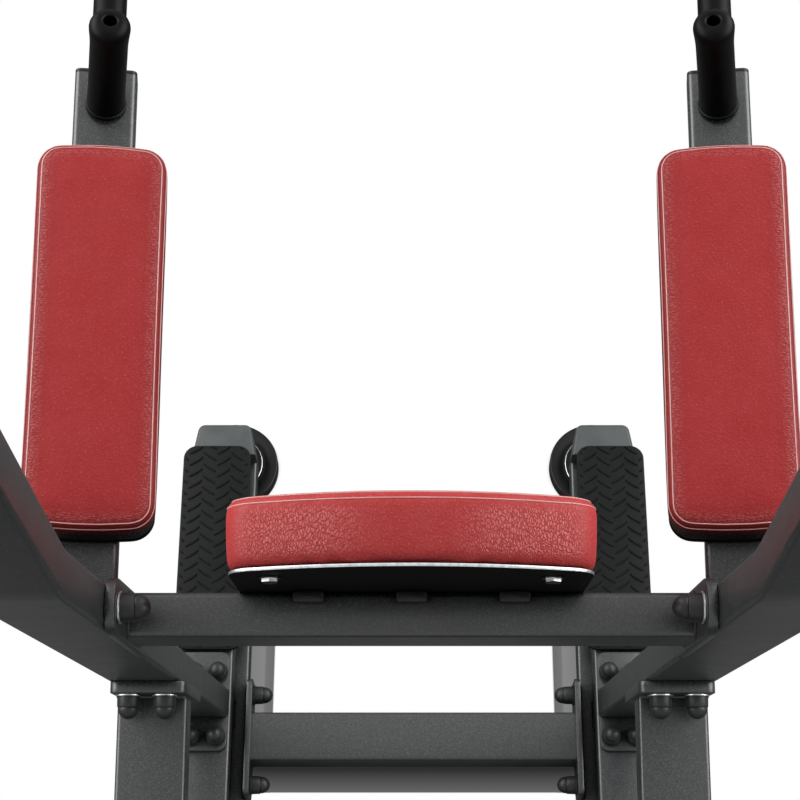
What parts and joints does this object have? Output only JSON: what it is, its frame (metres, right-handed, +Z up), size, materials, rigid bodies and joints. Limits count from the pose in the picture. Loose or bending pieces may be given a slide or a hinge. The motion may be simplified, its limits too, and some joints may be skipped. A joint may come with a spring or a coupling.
{
  "type": "free-standing pull-up station",
  "caption": "Free-standing pull-up and dip station: leaning posts, padded arms and backrest, stacked base rails with step mats and round rubber feet.",
  "frame": {"origin": "on the floor, below the middle of the station's overall box", "axes": "+Z up, +Y the way the user faces, along the dip arms, +X to the user's right"},
  "size_m": [1.1062, 1.12, 2.135],
  "materials": {
    "powder_coated_steel": "charcoal powder coat with fine metallic sparkle",
    "red_leather": "embossed artificial leather with sewn seams",
    "black_rubber": "moulded, matt",
    "grip_rubber": "moulded, satin",
    "grey_plastic": "moulded, fine texture",
    "black_plastic": "moulded, satin",
    "black_sheet_steel": "semi-gloss black powder coat",
    "zinc_plated_steel": "bright zinc plating"
  },
  "bodies": {
    "root": {"arm_left": "powder_coated_steel", "arm_pad_board_left": "black_sheet_steel", "arm_pad_board_right": "black_sheet_steel", "arm_pad_left": "red_leather", "arm_pad_right": "red_leather", "arm_plug_left": "black_plastic", "arm_plug_right": "black_plastic", "arm_right": "powder_coated_steel", "back_beam": "powder_coated_steel", "backrest_board": "black_sheet_steel", "backrest_bolt_left": "zinc_plated_steel", "backrest_bolt_right": "zinc_plated_steel", "backrest_pad": "red_leather", "bar_sleeve_left": "grip_rubber", "bar_sleeve_right": "grip_rubber", "base_cross_member": "powder_coated_steel", "beam_bolt_left": "black_plastic", "beam_bolt_right": "black_plastic", "brace_bolt_inner_left": "black_plastic", "brace_bolt_inner_right": "black_plastic", "brace_bolt_outer_left": "black_plastic", "brace_bolt_outer_right": "black_plastic", "cross_bolt_front_left": "black_plastic", "cross_bolt_front_right": "black_plastic", "cross_bolt_rear_left": "black_plastic", "cross_bolt_rear_right": "black_plastic", "dip_handle_left": "grip_rubber", "dip_handle_right": "grip_rubber", "foot_bolt_front_inner_left": "black_plastic", "foot_bolt_front_inner_right": "black_plastic", "foot_bolt_front_outer_left": "black_plastic", "foot_bolt_front_outer_right": "black_plastic", "foot_bolt_rear_inner_left": "black_plastic", "foot_bolt_rear_inner_right": "black_plastic", "foot_bolt_rear_outer_left": "black_plastic", "foot_bolt_rear_outer_right": "black_plastic", "lower_rail_left": "powder_coated_steel", "lower_rail_right": "powder_coated_steel", "post_left": "powder_coated_steel", "post_plug_left": "black_plastic", "post_plug_right": "black_plastic", "post_right": "powder_coated_steel", "pull_up_bar": "powder_coated_steel", "rail_cap_front_left": "grey_plastic", "rail_cap_front_right": "grey_plastic", "rail_cap_rear_left": "grey_plastic", "rail_cap_rear_right": "grey_plastic", "rear_brace_left": "powder_coated_steel", "rear_brace_right": "powder_coated_steel", "step_mat_left": "black_rubber", "step_mat_right": "black_rubber", "suction_foot_front_left": "black_rubber", "suction_foot_front_right": "black_rubber", "suction_foot_rear_left": "black_rubber", "suction_foot_rear_right": "black_rubber", "upper_rail_left": "powder_coated_steel", "upper_rail_right": "powder_coated_steel", "upright_grip_left": "grip_rubber", "upright_grip_right": "grip_rubber"}
  },
  "joints": []
}
